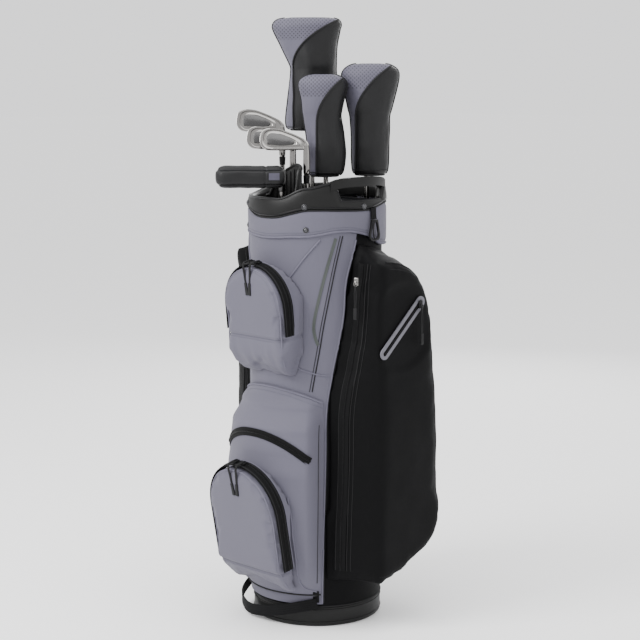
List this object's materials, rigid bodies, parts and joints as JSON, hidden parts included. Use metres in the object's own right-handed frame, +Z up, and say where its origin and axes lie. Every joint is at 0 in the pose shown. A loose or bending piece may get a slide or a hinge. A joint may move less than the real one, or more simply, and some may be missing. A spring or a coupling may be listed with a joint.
{
  "type": "golf club set",
  "caption": "Golf cart bag with arched zip pockets and side pockets, standing with woods, a hybrid, irons and a putter, and slip-on head covers.",
  "frame": {"origin": "centre of the base's underside, where the bag stands on the floor", "axes": "+Z up along the bag; -Y towards the front pockets; +X towards the side pocket with the slanting zip and the towel ring"},
  "size_m": [0.4141, 0.3724, 1.165],
  "materials": {
    "grey_fabric": "coated weave",
    "black_fabric": "coated weave",
    "rubber": "satin moulded",
    "zip": "coated zip tape",
    "webbing": "woven webbing",
    "grey_trim": "matt moulded trim",
    "chrome": "polished and brushed",
    "cover_skin": "soft semi-gloss",
    "lining": "plain lining",
    "head_paint": "gloss",
    "grip": "ribbed matt"
  },
  "bodies": {
    "bag": {"base_cup": "rubber", "liner_tube": "lining", "body_fabric": "black_fabric", "collar_band": "grey_fabric", "throat_ring": "rubber", "side_handle": "rubber", "putter_well": "rubber", "divider_front": "lining", "divider_rear": "lining", "divider_back": "lining", "divider_middle": "lining", "front_panel": "grey_fabric", "mid_pocket": "grey_fabric", "upper_pocket": "grey_fabric", "ball_pocket": "grey_fabric", "upper_zip": "zip", "ball_zip": "zip", "mid_zip": "zip", "side_pocket_right": "black_fabric", "side_pocket_left": "black_fabric", "side_zip_right": "zip", "slant_zip_frame": "grey_trim", "spine_panel": "black_fabric", "base_strap": "webbing", "towel_strap": "webbing"},
    "upper_slider_left": {"upper_slider_left": "zip"},
    "upper_slider_right": {"upper_slider_right": "zip"},
    "ball_slider_left": {"ball_slider_left": "zip"},
    "ball_slider_right": {"ball_slider_right": "zip"},
    "side_slider_right": {"side_slider_right": "chrome"},
    "slant_slider": {"slant_slider": "zip"},
    "towel_ring": {"towel_ring": "webbing"},
    "driver": {"driver_grip": "grip", "driver_shaft": "chrome", "driver_head": "head_paint"},
    "driver_cover": {"driver_cover": "cover_skin", "driver_cover_neck": "cover_skin"},
    "fairway": {"fairway_grip": "grip", "fairway_shaft": "chrome", "fairway_head": "head_paint"},
    "fairway_cover": {"fairway_cover": "cover_skin", "fairway_cover_neck": "cover_skin"},
    "hybrid": {"hybrid_grip": "grip", "hybrid_shaft": "chrome", "hybrid_head": "head_paint"},
    "hybrid_cover": {"hybrid_cover": "cover_skin", "hybrid_cover_neck": "cover_skin"},
    "long_iron": {"long_iron_grip": "grip", "long_iron_shaft": "chrome", "long_iron_head": "chrome"},
    "mid_iron": {"mid_iron_grip": "grip", "mid_iron_shaft": "chrome", "mid_iron_head": "chrome"},
    "short_iron": {"short_iron_grip": "grip", "short_iron_shaft": "chrome", "short_iron_head": "chrome"},
    "putter": {"putter_grip": "grip", "putter_shaft": "chrome", "putter_head": "chrome"},
    "putter_cover": {"putter_cover": "cover_skin"}
  },
  "joints": [
    {"name": "driver_lift", "type": "slide", "parent": "bag", "child": "driver", "axis": [0, 0, 1], "range_m": [0, 0.88]},
    {"name": "driver_cover_off", "type": "slide", "parent": "driver", "child": "driver_cover", "axis": [0, 0, 1], "range_m": [0, 0.24], "deforming": ["driver_cover_neck"]},
    {"name": "fairway_lift", "type": "slide", "parent": "bag", "child": "fairway", "axis": [0, 0, 1], "range_m": [0, 0.88]},
    {"name": "fairway_cover_off", "type": "slide", "parent": "fairway", "child": "fairway_cover", "axis": [0, 0, 1], "range_m": [0, 0.24], "deforming": ["fairway_cover_neck"]},
    {"name": "hybrid_lift", "type": "slide", "parent": "bag", "child": "hybrid", "axis": [0, 0, 1], "range_m": [0, 0.88]},
    {"name": "hybrid_cover_off", "type": "slide", "parent": "hybrid", "child": "hybrid_cover", "axis": [0, 0, 1], "range_m": [0, 0.24], "deforming": ["hybrid_cover_neck"]},
    {"name": "long_iron_lift", "type": "slide", "parent": "bag", "child": "long_iron", "axis": [0, 0, 1], "range_m": [0, 0.88]},
    {"name": "mid_iron_lift", "type": "slide", "parent": "bag", "child": "mid_iron", "axis": [0, 0, 1], "range_m": [0, 0.88]},
    {"name": "short_iron_lift", "type": "slide", "parent": "bag", "child": "short_iron", "axis": [0, 0, 1], "range_m": [0, 0.88]},
    {"name": "putter_lift", "type": "slide", "parent": "bag", "child": "putter", "axis": [0, 0, 1], "range_m": [0, 0.88]},
    {"name": "putter_cover_off", "type": "slide", "parent": "putter", "child": "putter_cover", "axis": [-0.6947, -0.7193, 0], "range_m": [0, 0.14]},
    {"name": "upper_zip_left", "type": "hinge", "parent": "bag", "child": "upper_slider_left", "pos_m": [0, -0.172, 0.62], "axis": [0, 0.995, 0.0995], "range_deg": [-82, 0]},
    {"name": "upper_zip_right", "type": "hinge", "parent": "bag", "child": "upper_slider_right", "pos_m": [0, -0.172, 0.62], "axis": [0, 0.995, 0.0995], "range_deg": [0, 82]},
    {"name": "ball_zip_left", "type": "hinge", "parent": "bag", "child": "ball_slider_left", "pos_m": [0, -0.203, 0.23], "axis": [0, 0.9831, 0.1829], "range_deg": [-82, 0]},
    {"name": "ball_zip_right", "type": "hinge", "parent": "bag", "child": "ball_slider_right", "pos_m": [0, -0.203, 0.23], "axis": [0, 0.9831, 0.1829], "range_deg": [0, 82]},
    {"name": "side_zip_run", "type": "slide", "parent": "bag", "child": "side_slider_right", "axis": [-0.0662, -0.0876, -0.994], "range_m": [0, 0.25]},
    {"name": "slant_zip_run", "type": "slide", "parent": "bag", "child": "slant_slider", "axis": [0, -0.7373, -0.6756], "range_m": [0, 0.115]},
    {"name": "towel_ring_swing", "type": "hinge", "parent": "bag", "child": "towel_ring", "pos_m": [0.13836, 0.01699, 0.782], "axis": [0.1219, -0.9925, 0], "range_deg": [0, 80]}
  ]
}
